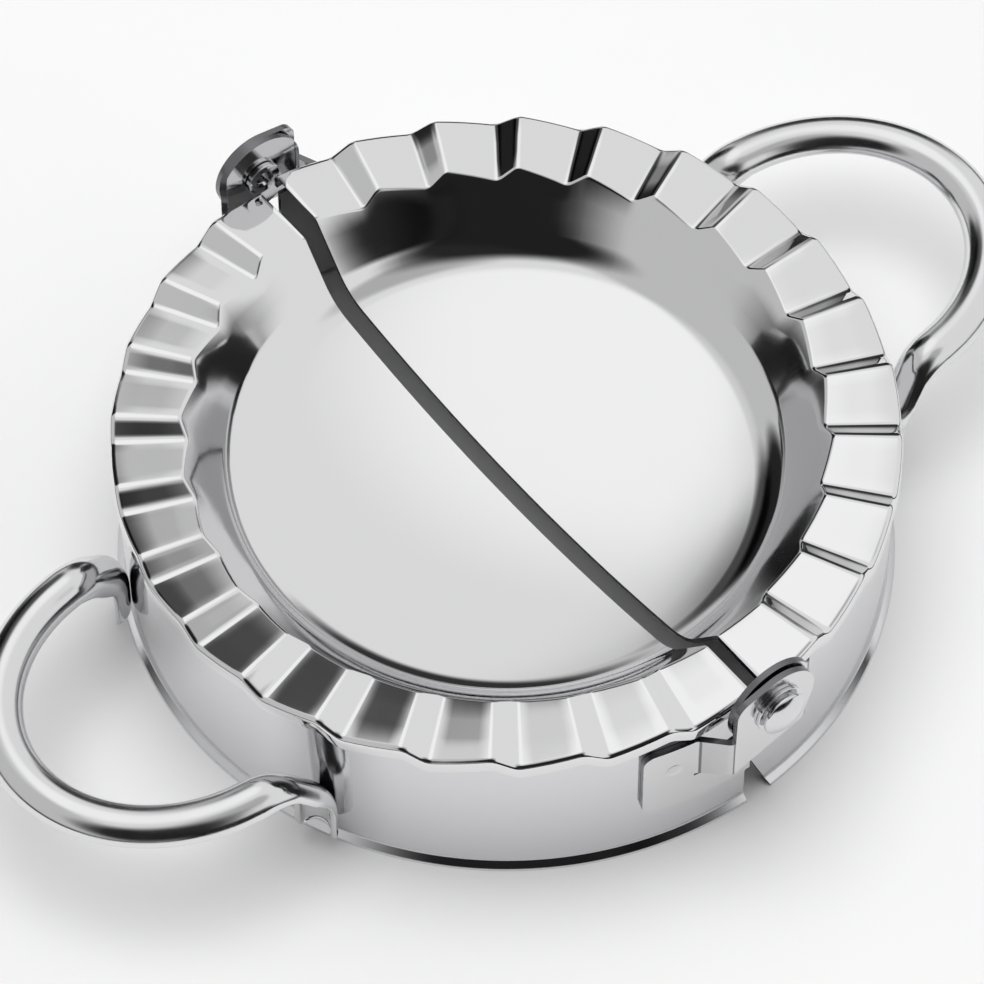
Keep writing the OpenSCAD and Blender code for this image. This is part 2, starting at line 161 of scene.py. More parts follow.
class HandleSizes(bpy.types.PropertyGroup):
    strip_w: size("Strip width", "Width of the half round strip", 5.7)
    strip_h: size("Strip height", "Height of the strip's arch", 2.4)
    strip_t: size("Strip thickness", "Thickness of the strip's sheet", 0.8)
    strip_edge: size("Strip edge", "Radius of the strip's rounded corners", 0.2)
    seat: size("Seat", "Gap between the feet and the skirt", 0.05)
    loop_x: size("Loop place", "Widest place of the loop from the middle", 50.1)
    loop_a: size("Loop length", "Length of the loop's half ellipse", 21.45)
    loop_b: size("Loop width", "Half the distance between the loop's sides", 18.9)
    height: size("Height", "Height of the loop's edges", 15.0)
    foot_angle: angle("Foot angle", "Angle of each foot on the skirt", 24.3)
    tab_low: size("Foot low", "Height of the foot's lower end", 2.3)
    tab_high: size("Foot high", "Height where the foot bends away", 9.6)
    bend: size("Bend", "Length of each bend", 2.2)
    tip_h: size("Tip", "Height over which the foot's end rounds in", 1.4)
    tip_size: share("Tip size", "Size of the foot's end beside the strip's", 0.8)


class SteelFinish(bpy.types.PropertyGroup):
    die: colour("Dies", "Mirror polished pressed sheet", "#E3E3E4")
    skirt: colour("Skirts", "Polished rolled sheet", "#DCDCDE")
    handle: colour("Handles", "Polished half round strip", "#E0E0E1")
    hinge: colour("Hinge plates", "Blanked plate with a rolled finish", "#D9D9DA")
    rivet: colour("Rivets", "Headed and turned rivet steel", "#DADADC")
    sheared: colour("Cut edges", "Grey, torn steel of the sheared edges", "#7C7C7F")


class Studio(bpy.types.PropertyGroup):
    floor: colour("Floor", "Matt white table paper", "#FAFAFA")
    overhead: FloatProperty(name="Overhead", description="Power of the softbox above in watts",
                            default=12.0, min=0)


PAGES = {"press_die": DieSizes, "press_skirt": SkirtSizes, "press_hinge": HingeSizes,
         "press_rivet": RivetSizes, "press_handle": HandleSizes, "press_steel": SteelFinish,
         "press_studio": Studio}


def arc(cx, cy, r, a0, a1, n):
    """n + 1 points of an arc, from a0 to a1 in radians."""
    turn = [a0 + (a1 - a0) * i / n for i in range(n + 1)]
    return [(cx + r * cos(a), cy + r * sin(a)) for a in turn]


def wire(bm, points, closed=False):
    """A line of a few vertices that an operator then turns into the shape."""
    verts = [bm.verts.new(p) for p in points]
    ends = list(zip(verts, verts[1:])) + ([(verts[-1], verts[0])] if closed else [])
    return [bm.edges.new(pair) for pair in ends]


def aim(bm, want):
    """Turns an open sheet's faces so that their normals agree with want(centre)."""
    bmesh.ops.recalc_face_normals(bm, faces=bm.faces[:])
    if sum(f.calc_area() * f.normal.dot(want(f.calc_center_median())) for f in bm.faces) < 0:
        bmesh.ops.reverse_faces(bm, faces=bm.faces[:])


def cut(bm, place, normal, trim=True, near=lambda p: True):
    """Cuts what is near by a plane, and drops what lies behind the plane if trim is true."""
    geom = [g for g in bm.verts[:] + bm.edges[:] + bm.faces[:]
            if all(near(v.co) for v in (g.verts if hasattr(g, "verts") else [g]))]
    bmesh.ops.bisect_plane(bm, geom=geom, dist=1e-7, plane_co=place, plane_no=normal,
                           clear_inner=trim)


def to_left(bm):
    """Turns a piece of the right half round to the left half."""
    bmesh.ops.rotate(bm, cent=(0, 0, 0), matrix=Matrix.Rotation(pi, 3, "Z"), verts=bm.verts[:])


def to_near(bm):
    """Mirrors a far piece of the right half to its near hinge."""
    bmesh.ops.scale(bm, vec=(1, -1, 1), verts=bm.verts[:])
    bmesh.ops.reverse_faces(bm, faces=bm.faces[:])


def finish_piece(bm, name, materials, wall=0.0, offset=-1.0, edge=0.0):
    """Makes the mesh an object in its CAD node's place: a sheet of some wall, or a solid."""
    bmesh.ops.remove_doubles(bm, verts=bm.verts[:], dist=1e-6)
    if not bm.faces:
        raise RuntimeError(name + " has no faces")
    for face in bm.faces:
        face.smooth = True
    # Sheet is sheared square at its edges
    for side in bm.edges:
        if side.is_boundary:
            side.smooth = False
    mesh = bpy.data.meshes.new(name + "_sheet")
    bm.to_mesh(mesh)
    bm.free()
    piece = bpy.data.objects.new(name + "_steel", mesh)
    bpy.context.collection.objects.link(piece)
    for material in materials:
        mesh.materials.append(material)
    if wall:
        solid = piece.modifiers.new("Sheet", "SOLIDIFY")
        solid.thickness, solid.offset, solid.use_even_offset = wall, offset, True
        solid.use_quality_normals = True
        # The cut edges take the second finish
        solid.material_offset_rim = len(materials) - 1
    if edge:
        # Turned edges are never quite sharp
        soft = piece.modifiers.new("Edges", "BEVEL")
        soft.width, soft.segments, soft.limit_method = edge, 2, "ANGLE"
        soft.angle_limit, soft.harden_normals, soft.use_clamp_overlap = radians(30), True, True
    body = next(b for b, nodes in frame["record"]["behaviour"]["bodies"].items() if name in nodes)
    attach(piece, body)
    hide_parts(name)
    return piece


def add(tree, kind, inputs=None, **settings):
    """Adds a node with its settings. Inputs are joined to a socket, or set if they aren't one."""
    node = tree.nodes.new("ShaderNode" + kind)
    for key, value in settings.items():
        if hasattr(node, key):
            setattr(node, key, value)
        else:
            node.inputs[key.replace("_", " ")].default_value = value
    for key, value in (inputs or {}).items():
        if isinstance(value, bpy.types.NodeSocket):
            tree.links.new(value, node.inputs[key])
        else:
            node.inputs[key].default_value = value
    return node


def new_material(name):
    material = bpy.data.materials.new(name)
    material.use_nodes = True
    material.node_tree.nodes.clear()
    return material, material.node_tree


# The electrode's print in mm: radius of its flat middle and of its edge, and its depth
PRINT_FLAT, PRINT_R, PRINT_DEPTH = 0.75, 1.05, 0.06
# Place of the print on each plate, which is the same distance from the middle on all four
PRINT_PLACE = (11.8, 46.4, 15.9)


def weld_print(tree, folded, normal):
    """The shallow round print of a spot weld, pressed into the plate."""
    middle = [c * MM for c in PRINT_PLACE]
    away = add(tree, "VectorMath", {0: folded, 1: middle}, operation="DISTANCE")
    dent = add(tree, "MapRange", {"Value": away.outputs["Value"]}, interpolation_type="SMOOTHSTEP",
               From_Min=PRINT_FLAT * MM, From_Max=PRINT_R * MM)
    return add(tree, "Bump", {"Height": dent.outputs[0], "Normal": normal}, Strength=1.0,
               Distance=PRINT_DEPTH * MM)


# Painted shade on the straps' bends, in mm: half width of the dark core of each painted line, which
# stands in for a dark reflection on the bend, and where it ends, the soft border of the painted
# shade on the step between the bends, and the height of the slits, below which nothing is bent
LINE_CORE, LINE_END, PAINTED_STEP_EDGE, BEND_FOOT = 0.04, 0.16, 0.1, 13.4
# How dark the painted lines and the painted shade on the step are, and the colour to which they
# turn
PAINTED_LINE_DARKNESS, PAINTED_STEP_DARKNESS = 0.8, 0.16
PAINTED_SHADE_STEEL = linear("#4C4C50")


def painted_bend_shade(tree, folded, bends, tint):
    """Painted dark reflections along a strap's sharp bends, and painted shade on the step between
    them.
    """
    axes = add(tree, "SeparateXYZ", {0: folded}).outputs
    middle, half = sum(bends) / 2, abs(bends[0] - bends[1]) / 2
    side = add(tree, "Math", {0: axes["X"], 1: middle}, operation="SUBTRACT")
    side = add(tree, "Math", {0: side.outputs[0]}, operation="ABSOLUTE")
    off = add(tree, "Math", {0: side.outputs[0], 1: half}, operation="SUBTRACT")
    apart = add(tree, "Math", {0: off.outputs[0]}, operation="ABSOLUTE")
    line = add(tree, "MapRange", {"Value": apart.outputs[0]}, interpolation_type="SMOOTHSTEP",
               From_Min=LINE_CORE * MM, From_Max=LINE_END * MM, To_Min=PAINTED_LINE_DARKNESS, To_Max=0.0)
    between = add(tree, "MapRange", {"Value": off.outputs[0]}, From_Min=-PAINTED_STEP_EDGE * MM,
                  From_Max=PAINTED_STEP_EDGE * MM, To_Min=PAINTED_STEP_DARKNESS, To_Max=0.0)
    painted_shade = add(tree, "Math", {0: line.outputs[0], 1: between.outputs[0]}, operation="MAXIMUM")
    above = add(tree, "Math", {0: axes["Z"], 1: BEND_FOOT * MM}, operation="GREATER_THAN")
    painted_shade = add(tree, "Math", {0: painted_shade.outputs[0], 1: above.outputs[0]}, operation="MULTIPLY")
    # Where the painted shade is full, the colour turns to its dark steel grey
    # A mix of colours has them on sockets 6 and 7, and its result on 2
    mixed = add(tree, "Mix", {0: painted_shade.outputs[0], 6: tint, 7: PAINTED_SHADE_STEEL}, data_type="RGBA")
    return mixed.outputs[2]


# Handling marks: their width in mm, the part of their noise that shows, and the shares of the
# finish's roughness between which they change it
MARKS_W, MARKS_LOW, MARKS_HIGH, MARKS_GLOSS, MARKS_DULL = 9, 0.35, 0.7, 0.75, 1.35


def polished_steel(name, tint, rough, wave_w, wave_h, line_w, line_h, stretch=(1, 1, 1), bends=()):
    """Stainless sheet: widths and heights of its slight waves and of the buff's lines are in mm."""
    material, tree = new_material(name)
    place = add(tree, "TexCoord").outputs["Object"]
    waves = add(tree, "TexNoise", {"Vector": place}, Scale=1 / (wave_w * MM), Detail=1.0)
    turned = add(tree, "Mapping", {"Vector": place}, Scale=stretch)
    lines = add(tree, "TexNoise", {"Vector": turned.outputs[0]}, Scale=1 / (line_w * MM),
                Detail=3.0)
    marks = add(tree, "TexNoise", {"Vector": place}, Scale=1 / (MARKS_W * MM), Detail=4.0,
                Roughness=0.6)
    gloss = add(tree, "MapRange", {"Value": marks.outputs["Fac"]}, From_Min=MARKS_LOW,
                From_Max=MARKS_HIGH, To_Min=rough * MARKS_GLOSS, To_Max=rough * MARKS_DULL)
    wavy = add(tree, "Bump", {"Height": waves.outputs["Fac"]}, Strength=1.0, Distance=wave_h * MM)
    relief = add(tree, "Bump", {"Height": lines.outputs["Fac"], "Normal": wavy.outputs[0]},
                 Strength=1.0, Distance=line_h * MM)
    if bends:
        folded = add(tree, "VectorMath", {0: place}, operation="ABSOLUTE").outputs[0]
        relief = weld_print(tree, folded, relief.outputs[0])
        # The base colour takes painted shade: dark lines on the bends and a greyer step between
        # them
        tint = painted_bend_shade(tree, folded, bends, tint)
    steel = add(tree, "BsdfPrincipled", {"Base Color": tint, "Roughness": gloss.outputs[0],
                                         "Normal": relief.outputs[0]}, Metallic=1.0)
    add(tree, "OutputMaterial", {"Surface": steel.outputs[0]})
    return material


def sheared_steel(name, tint):
    """Edge left by the shears: dull, dark grey and finely torn, which outlines the bright sheet."""
    return polished_steel(name, tint, rough=0.3, wave_w=2, wave_h=0.002, line_w=0.15, line_h=0.001)


def die_profile(d):
    """Radius and height along a die's upper face, from the middle of the bowl to the lip."""
    w = d.wall_angle
    wall_r = d.lip_r - d.flute_w
    dish_z = d.rim_h - d.bowl_depth + d.dish_r
    wall_dir = Vector((cos(w), sin(w)))
    # The fillet's middle lies beside the wall and inside the dish
    line = Vector((wall_r, d.rim_h)) + d.bowl_fillet * Vector((-sin(w), cos(w)))
    to_line = line - Vector((0, dish_z))
    run = to_line.dot(wall_dir)
    back = run + sqrt(run ** 2 - to_line.length_squared + (d.dish_r - d.bowl_fillet) ** 2)
    middle = line - back * wall_dir
    a = atan2(middle.y - dish_z, middle.x)
    dish = arc(0, dish_z, d.dish_r, -pi / 2, a, 10)
    bowl = dish + arc(middle.x, middle.y, d.bowl_fillet, a, w - pi / 2, 12)[1:]
    # The bend from the wall to the flutes touches both at reach from their corner
    reach = d.soft_edge * tan(w / 2)
    top = arc(wall_r + reach, d.rim_h - d.soft_edge, d.soft_edge, w + pi / 2, pi / 2, 5)
    foot = Vector(bowl[-1])
    thirds = (0.33, 0.66)
    wall = [tuple(foot.lerp(Vector(top[0]), t)) for t in thirds]
    crease = d.lip_r - d.lip_roll
    rim = [(top[-1][0] + (crease - top[-1][0]) * t, d.rim_h) for t in thirds]
    fold = arc(crease, d.rim_h - d.lip_roll, d.lip_roll, pi / 2, 0, 6)
    return bowl + wall + top + rim + fold + [(d.lip_r, d.rim_h - d.lip_drop)]


def flute_columns(pitch, step, soft):
    """Where the sheet's rows lie along one flute, closest at the two bends."""
    def bend(a):
        return [a + soft * t for t in (-1.1, -0.6, -0.2, 0.2, 0.6, 1.1)]
    low, high = step / 2, pitch - step / 2
    flat = [low + (high - low) * t for t in (0.25, 0.5, 0.75)]
    return [0.0, low * 0.4] + bend(low) + flat + bend(high) + [pitch - low * 0.4]


def flute_slope(a, d, pitch, step, soft):
    """A flute's rise over its radius at angle a: flat panels and steps with a soft bend between."""
    rise = d.flute_h / 2 / (d.lip_r - d.lip_roll)
    panel = pitch - step

    def flat(q):
        q = q % pitch
        if q < step / 2:
            return rise * sin(q) / sin(step / 2)
        if q > pitch - step / 2:
            return -rise * sin(pitch - q) / sin(step / 2)
        return rise * sin(pitch / 2 - q) / sin(panel / 2)
    return sum(flat(a + soft * t) for t in ROUNDING) / len(ROUNDING)


# Reach of the flutes' bends to either side, and how far inside the rim their pressing fades out
FLUTE_BEND = radians(0.7)
PRESS_REACH = 3 * MM


def build_die(d, side):
    """Spins the section half round, then presses the flutes into it and cuts the blank."""
    bm = bmesh.new()
    wall_r, crease = d.lip_r - d.flute_w, d.lip_r - d.lip_roll
    pitch = pi / d.flutes
    step = pitch * d.step_share
    columns = flute_columns(pitch, step, FLUTE_BEND)
    rows = len(columns) * d.flutes
    wire(bm, [(0, -r, z) for r, z in die_profile(d)])
    bmesh.ops.spin(bm, geom=bm.verts[:] + bm.edges[:], cent=(0, 0, 0), axis=(0, 0, 1), angle=pi,
                   steps=rows, use_merge=False)
    foot_r = wall_r - PRESS_REACH
    wall_slope = tan(d.wall_angle)
    for v in bm.verts:
        r = hypot(v.co.x, v.co.y)
        if r < 1e-6:
            continue
        row = round((pi / 2 - atan2(v.co.y, v.co.x)) / pi * rows)
        a = pi if row == rows else row // len(columns) * pitch + columns[row % len(columns)]
        rise = flute_slope(a, d, pitch, step, FLUTE_BEND) if 0 < row < rows else 0
        z = v.co.z
        if r > crease:
            z += rise * r
        elif r > foot_r:
            # The corner between wall and flute slides along the wall
            slide = wall_r * wall_slope / (wall_slope - rise) - wall_r
            if r < wall_r:
                along = (r - foot_r) / (wall_r - foot_r)
            else:
                along = (crease - r) / (crease - wall_r)
            r += slide * along
            z += wall_slope * slide * along if r < wall_r + slide else rise * r
        v.co = (r * sin(a), r * cos(a), z)
    cut(bm, (d.cut_x, 0, 0), (1, 0, 0))
    aim(bm, lambda p: Vector((0, 0, 1)))
    if side == "left":
        to_left(bm)
    return bm


def foot_section(k):
    """Radius and height along the skirt's outer face, from the table to its top."""
    r0, r1, z0, z1 = k.radius, k.radius + k.foot_flare, k.foot_edge, k.foot_h
    lean = atan2(k.foot_flare, z1 - z0)
    hip = arc(r0 + k.foot_bend, z1 + k.foot_bend * tan(lean / 2), k.foot_bend, pi + lean, pi, 4)
    foot = Vector((r1, z0))
    # Rows close to both ends of the flare and at the wall's foot keep their shading flat
    flare = [tuple(foot.lerp(Vector(hip[0]), t)) for t in (0.17, 0.5, 0.96)]
    wall = [(r0, z1 + (k.top - z1) * t) for t in (0.03, 0.1, 0.3, 0.65, 1)]
    return [(r1, 0), (r1, z0)] + flare + hip + wall


# The strip is spun this far to either side of +X, and what lies this far along Y is at a hinge
SPREAD = radians(100)
AT_HINGE = 20 * MM


def build_skirt(k, side):
    """Spins the strip's section, then trims its two ends and the notch."""
    bm = bmesh.new()
    wire(bm, [(r * cos(-SPREAD), r * sin(-SPREAD), z) for r, z in foot_section(k)])
    bmesh.ops.spin(bm, geom=bm.verts[:] + bm.edges[:], cent=(0, 0, 0), axis=(0, 0, 1),
                   angle=2 * SPREAD, steps=200, use_merge=False)
    cut(bm, (k.end_back, 0, 0), (1, 0, 0), near=lambda p: p.y > AT_HINGE)

    def near(p):
        return p.y < -AT_HINGE
    cut(bm, (-k.end_past, 0, 0), (1, 0, 0), near=near)
    cut(bm, (k.end_slant - k.end_past, 0, 0), (k.end_slant_h, 0, k.end_slant), near=near)
    cut(bm, (0, 0, k.notch_z), (0, 0, 1), False, near)
    cut(bm, (k.notch_x, 0, 0), (1, 0, 0), False, near)
    cx, cz = k.notch_x + k.corner_r, k.top - k.corner_r
    corner = arc(cx, cz, k.corner_r, pi, pi / 2, 8)

    def by_corner(p):
        return near(p) and p.x < cx + MM and p.z > cz - MM
    for (x, z), (x2, z2) in zip(corner, corner[1:]):
        cut(bm, (x, 0, z), (z2 - z, 0, x - x2), False, by_corner)

    def in_notch(p):
        rounded = p.x < cx and p.z > cz and hypot(p.x - cx, p.z - cz) > k.corner_r * 0.999
        return near(p) and p.z > k.notch_z and (p.x < k.notch_x or rounded)
    gone = [f for f in bm.faces if in_notch(f.calc_center_median())]
    bmesh.ops.delete(bm, geom=gone, context="FACES")
    aim(bm, lambda p: Vector((p.x, p.y, 0)))
    if side == "left":
        to_left(bm)
    return bm


def touch_ear(p, pivot_h, r, side):
    """Angle where the straight edge from p meets the ear's circle."""
    v = Vector(p) - Vector((0, pivot_h))
    return atan2(v.y, v.x) + side * acos(r / v.length)


# Share of a strap's rise that its upper edge has made where its step out ends
TOP_RISE = 0.8
# The outer ear's lower corner: its place as a share of the ear's radius, and its drop below the ear
HEEL_SHARE, HEEL_DROP = 0.7, 0.6 * MM


def outer_outline(h, k):
    """Outline of the outer plate: pad, strap top, shoulder, ear, strap's lower edge and slit."""
    low = h.strap_top - h.outer_strap
    split, x1, bend = low - h.slit, h.outer_bend + h.bend_run, h.outer_bend
    step_x = bend - h.slit / 2
    shoulder = arc(step_x - h.shoulder_r, h.pivot_h + h.shoulder_h - h.shoulder_r, h.shoulder_r, 0,
                   radians(80), 8)
    heel = (-h.outer_ear_r * HEEL_SHARE, h.pivot_h - h.outer_ear_r - HEEL_DROP)
    a0 = touch_ear(shoulder[-1], h.pivot_h, h.outer_ear_r, 1)
    a1 = touch_ear(heel, h.pivot_h, h.outer_ear_r, -1) % (2 * pi)
    ear = arc(0, h.pivot_h, h.outer_ear_r, a0, a1, 24)
    return ([(k.end_back, h.outer_foot)] + pad_side(h, h.outer_foot) +
            [(x1, h.strap_top), (step_x, h.strap_top + h.strap_rise * TOP_RISE)] + shoulder + ear +
            [heel, (bend, low + h.strap_rise), (x1, low), (x1 + h.slit, low), (x1 + h.slit, split),
             (x1 - h.slit, split), (k.end_back, split + h.strap_rise)])


def inner_outline(h, k):
    """Outline of the inner plate, whose pad follows the skirt's slanted end."""
    low = h.strap_top - h.inner_strap
    split, x1, bend = low - h.slit, h.inner_bend + h.bend_run, h.inner_bend
    heel = (bend - MM, low + h.strap_rise)
    a1 = touch_ear(heel, h.pivot_h, h.inner_ear_r, -1) % (2 * pi)
    # The strap's upper edge runs into the ear
    start = Vector((x1, h.strap_top))
    end = Vector((bend - h.slit / 2, h.strap_top + h.strap_rise * TOP_RISE))
    pivot, t = Vector((0, h.pivot_h)), 0.0
    while t < 1 and (start.lerp(end, t) - pivot).length > h.inner_ear_r:
        t += 0.002
    meet = start.lerp(end, t) - pivot
    ear = arc(0, h.pivot_h, h.inner_ear_r, atan2(meet.y, meet.x), a1, 40)
    slant_x = -k.end_past + k.end_slant * (k.end_slant_h - h.inner_foot) / k.end_slant_h
    return ([(slant_x, h.inner_foot)] + pad_side(h, h.inner_foot) + [(x1, h.strap_top)] + ear +
            [heel, (bend, low + h.strap_rise), (x1, low), (x1 + h.slit, low), (x1 + h.slit, split),
             (-k.end_past, split), (-k.end_past, k.end_slant_h)])


def pad_side(h, foot):
    """The pad's far side with its two rounded corners."""
    x = h.reach - h.corner_r
    return (arc(x, foot + h.corner_r, h.corner_r, -pi / 2, 0, 8) +
            arc(x, h.strap_top - h.corner_r, h.corner_r, 0, pi / 2, 8))


# Rows across a plate: the first one's place, their gap, and the closer gap near a strap's bends
FIRST_ROW, ROW_GAP, BEND_GAP, BEND_REACH = -1.0 * MM, 0.4 * MM, 0.1 * MM, 0.5 * MM
# Half the length over which a strap's bend turns
STRAP_BEND = 0.25 * MM
# How much the slit under the outer strap rises with it
SLIT_RISE = 1.8 * MM
HOLE_SIDES = 32


def build_plate(h, k, rivet, outline, seat, ear_y, bend, strap, slit_rise):
    """Blanks the outline flat, then bends the pad round the skirt and steps the strap out."""
    bm = bmesh.new()
    x1 = bend + h.bend_run
    low = h.strap_top - strap
    wire(bm, [(x, 0, z) for x, z in outline], closed=True)
    last = 2 * pi * (HOLE_SIDES - 1) / HOLE_SIDES
    hole = arc(0, h.pivot_h, rivet.shank_r + rivet.fit, 0, last, HOLE_SIDES - 1)
    wire(bm, [(x, 0, z) for x, z in hole], closed=True)
    bmesh.ops.triangle_fill(bm, use_beauty=True, edges=bm.edges[:])
    x = FIRST_ROW
    while x < h.reach:
        cut(bm, (x, 0, 0), (1, 0, 0), False)
        x += BEND_GAP if min(abs(x - bend), abs(x - x1)) < BEND_REACH else ROW_GAP
    mid_r, mid_y = seat + h.plate / 2, ear_y + h.plate / 2

    def pad_y(px):
        return sqrt(mid_r ** 2 - px ** 2)

    def strap_y(px):
        if px > x1:
            return pad_y(px)
        return mid_y if px < bend else mid_y + (pad_y(x1) - mid_y) * (px - bend) / h.bend_run
    for v in bm.verts:
        px, pz = v.co.x, v.co.z
        slit_z = low - h.slit / 2 + slit_rise * min(1, max(0, (x1 - px) / (x1 - k.end_back)))
        if px < x1 + h.slit and pz < slit_z:
            v.co.y = pad_y(px)
        else:
            v.co.y = sum(strap_y(px + STRAP_BEND * t) for t in ROUNDING) / len(ROUNDING)
    aim(bm, lambda p: Vector((0, 1, 0)))
    return bm


def spun(points, h):
    """Spins a section [radius, place along +Y] round the pivot."""
    bm = bmesh.new()
    wire(bm, [(r, y, h.pivot_h) for r, y in points])
    bmesh.ops.spin(bm, geom=bm.verts[:] + bm.edges[:], cent=(0, 0, h.pivot_h), axis=(0, 1, 0),
                   angle=2 * pi, steps=64, use_merge=True)
    bmesh.ops.remove_doubles(bm, verts=bm.verts[:], dist=1e-6)
    bmesh.ops.recalc_face_normals(bm, faces=bm.faces[:])
    return bm


# Depth of the bore in the rivet's inner end, the dome's share of the head's height, and the width
# by which turned edges are broken
BORE_DEPTH, DOME_SHARE, TURNED_EDGE = 1.5 * MM, 0.7, 0.12 * MM


def rivet_section(r, h):
    """From the bore's bottom round the flange, shank, groove and head to the top of the dome."""
    head_y = h.outer_y + h.plate + r.washer_t
    back = h.inner_y - r.play
    start = back - r.flange_t
    deep = start + BORE_DEPTH
    dome = r.head_h * DOME_SHARE
    ball = (r.head_r ** 2 + dome ** 2) / 2 / dome
    top = head_y + r.neck_h + r.head_h
    full = atan2(r.head_r, ball - dome)
    turn = [full * (1 - i / 10) for i in range(11)]
    head = [(ball * sin(a), top - ball + ball * cos(a)) for a in turn]
    return [(0, deep), (r.bore_r, deep), (r.bore_r, start + r.mouth), (r.bore_r + r.mouth, start),
            (r.flange_r, start), (r.flange_r, back), (r.shank_r, back), (r.shank_r, head_y),
            (r.neck_r, head_y), (r.neck_r, head_y + r.neck_h), (r.head_r, head_y + r.neck_h)] + head


def washer_section(r, h):
    """Section of the washer as a closed line."""
    low = h.outer_y + h.plate
    high, hole = low + r.washer_t, r.shank_r + r.fit
    return [(hole, low), (r.washer_r, low), (r.washer_r, high), (hole, high), (hole, low)]


# Parts into which a foot's tip, each bend and the loop are divided
TIP_PARTS, BEND_PARTS, LOOP_PARTS = 6, 10, 72
# The loop's first station keeps this angle from the bend's last
LOOP_GAP = radians(6)


def handle_path(n, skirt_r):
    """The strip's stations from foot to foot: middle of its edges, crown's direction, size."""
    out = Vector((cos(n.foot_angle), sin(n.foot_angle), 0))
    up, base = Vector((0, 0, 1)), skirt_r + n.seat
    foot_top = out * (base + n.strip_h) + up * n.tab_high
    loop_start = Vector((n.loop_x, n.loop_b, n.height))
    slope = (loop_start - foot_top).normalized()
    stations = []
    for i in range(TIP_PARTS + 1):
        t = i / TIP_PARTS
        f = n.tip_size + (1 - n.tip_size) * sqrt(1 - (1 - t) ** 2)
        stations.append((out * (base + n.strip_h * f) + up * (n.tab_low + n.tip_h * t), -out, f))

    def bend(a, b, c, t0, t1):
        for i in range(BEND_PARTS + 1):
            t = i / BEND_PARTS
            s = t0 + (t1 - t0) * t
            point = (1 - t) ** 2 * a + 2 * t * (1 - t) * b + t * t * c
            stations.append((point, (-out * (1 - s) + up * s).normalized(), 1.0))
    bend(foot_top - n.bend * up, foot_top, foot_top + n.bend * slope, 0, 0.5)
    inset = n.bend ** 2 * n.loop_b / 2 / n.loop_a ** 2
    bend(loop_start - n.bend * slope, loop_start, loop_start + Vector((n.bend, -inset, 0)), 0.5, 1)
    half = list(stations)
    first = acos(n.bend / n.loop_a) - LOOP_GAP
    turn = [first * (1 - 2 * i / LOOP_PARTS) for i in range(LOOP_PARTS + 1)]
    loop = [(Vector((n.loop_x + n.loop_a * cos(a), n.loop_b * sin(a), n.height)), up, 1.0)
            for a in turn]
    turned = [(Vector((c.x, -c.y, c.z)), Vector((u.x, -u.y, u.z)), f) for c, u, f in reversed(half)]
    return half + loop + turned


def strip_section(n):
    """Half round section of the strip: its crown, then one edge, the hollow and the other edge."""
    a, b, e = n.strip_w / 2, n.strip_h, n.strip_edge
    in_a, in_b = a - n.strip_t, b - n.strip_t
    q, p = asin(e / b), asin(e / in_b)

    def half_round(w, h, a0, a1, parts):
        turn = [a0 + (a1 - a0) * j / parts for j in range(parts + 1)]
        return [(w * cos(t), h * sin(t)) for t in turn]

    def corner(outer, inner):
        return arc(outer, e, e, pi, 1.5 * pi, 4)[1:] + arc(inner, e, e, 1.5 * pi, 2 * pi, 4)[:-1]
    return (half_round(a, b, q, pi - q, 24) + corner(e - a, -in_a - e) +
            half_round(in_a, in_b, pi - p, p, 20) + corner(in_a + e, a - e))


def build_handle(n, skirt_r, side):
    """Extrudes the strip's half round section from station to station."""
    path = handle_path(n, skirt_r)
    frames = []
    for i, (c, u, f) in enumerate(path):
        d = (path[min(i + 1, len(path) - 1)][0] - path[max(i - 1, 0)][0]).normalized()
        u = (u - u.dot(d) * d).normalized()
        v = d.cross(u)
        frames.append(Matrix((v * f, u * f, d)).transposed().to_4x4())
        frames[-1].translation = c
    bm = bmesh.new()
    edges = wire(bm, [(x, y, 0) for x, y in strip_section(n)], closed=True)
    bmesh.ops.transform(bm, matrix=frames[0], verts=bm.verts[:])
    for before, after in zip(frames, frames[1:]):
        made = bmesh.ops.extrude_edge_only(bm, edges=edges)["geom"]
        edges = [g for g in made if isinstance(g, bmesh.types.BMEdge)]
        verts = [g for g in made if isinstance(g, bmesh.types.BMVert)]
        bmesh.ops.transform(bm, matrix=after @ before.inverted(), verts=verts)
    for end in bmesh.ops.holes_fill(bm, edges=bm.edges[:], sides=0)["faces"]:
        for edge in end.edges:
            edge.smooth = False
    bmesh.ops.recalc_face_normals(bm, faces=bm.faces[:])
    if side == "left":
        to_left(bm)
    return bm


# Patches of the tent, which steel mirrors: degrees from +Y towards +X and above the table, the
# angle up to which each is full and where it ends, and how much it dims or brightens the tent.
# First the tent's brighter side, and then the level of its other side
BRIGHT_SIDE = (115, 50, 54, 63, 0.89)
DIM_SIDE = 0.62
CARDS = (
    # Black, round the lens: what leans towards it, as the bowl's far wall and half the steps do
    (-141.5, 39, 22.5, 42, 0.027),
    # Black, low in front: the rest of that wall, up to the far hinge
    (-176, 3, 16.5, 28, 0.028),
    # Black, low at the back: the dark crescent in the fillet at the right bowl's lower right
    (-5, 19, 13, 21, 0.03),
    # Dark grey, above it: the crescent's soft inner edge
    (8, 32, 10, 19, 0.12),
    # Grey, high in front: the fillet under the far wall, between black wall and bright bottom
    (164, 65, 11, 22, 0.58),
    # Bright, high at the back: nearly level sheet that tilts to the left
    (12, 65, 12, 26, 1.25),
    # Black, low at the back right: a streak on round edges that turn that way
    (44, 12, 9, 21, 0.06),
)
# Height in degrees over which the tent's foot turns from near black to white, and its darkest level
SKIRTING, SKIRTING_LEVEL = 9, 0.04


def toward(az, el):
    """The direction at az degrees from +Y towards +X and el degrees above the table."""
    az, el = radians(az), radians(el)
    return (sin(az) * cos(el), cos(az) * cos(el), sin(el))


